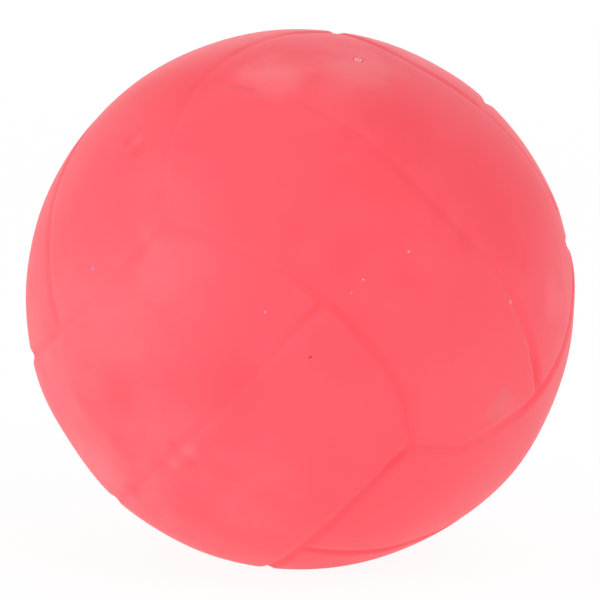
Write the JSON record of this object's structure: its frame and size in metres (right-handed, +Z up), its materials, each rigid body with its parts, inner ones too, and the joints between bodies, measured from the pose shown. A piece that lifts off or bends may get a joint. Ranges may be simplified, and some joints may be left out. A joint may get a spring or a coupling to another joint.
{
  "type": "dog ball",
  "caption": "Soft panelled rubber dog ball with shallow seams, a hollow core and a reed squeaker that breathes through a small vent in the cover.",
  "frame": {"origin": "middle of the small flat that the ball rests on", "axes": "+Z up from the flat through the ball's centre, +X to the right and -Y towards the viewer of the picture"},
  "size_m": [0.0648, 0.065, 0.0635],
  "materials": {
    "cover_rubber": "matte coral-red rubber",
    "core_rubber": "dull red rubber",
    "squeaker_plastic": "pale pink moulded plastic",
    "reed_film": "thin amber film"
  },
  "bodies": {
    "ball": {"cover_panel_01": "cover_rubber", "cover_panel_02": "cover_rubber", "cover_panel_03": "cover_rubber", "cover_panel_04": "cover_rubber", "cover_panel_05": "cover_rubber", "cover_panel_06": "cover_rubber", "cover_panel_07": "cover_rubber", "cover_panel_08": "cover_rubber", "cover_panel_09": "cover_rubber", "cover_panel_10": "cover_rubber", "cover_panel_11": "cover_rubber", "cover_panel_12": "cover_rubber", "core_upper_half": "core_rubber", "core_lower_half": "core_rubber", "squeaker_body": "squeaker_plastic", "squeaker_cap": "squeaker_plastic", "reed_trough": "squeaker_plastic", "reed_wedge": "squeaker_plastic"},
    "reed": {"reed": "reed_film"}
  },
  "joints": [
    {"name": "reed_flex", "type": "hinge", "parent": "ball", "child": "reed", "pos_m": [0.00412, -0.0067, 0.04954], "axis": [-0.4714, -0.8579, -0.2042], "range_deg": [-2.5, 6], "stiffness_Nm_per_rad": 0.002}
  ]
}
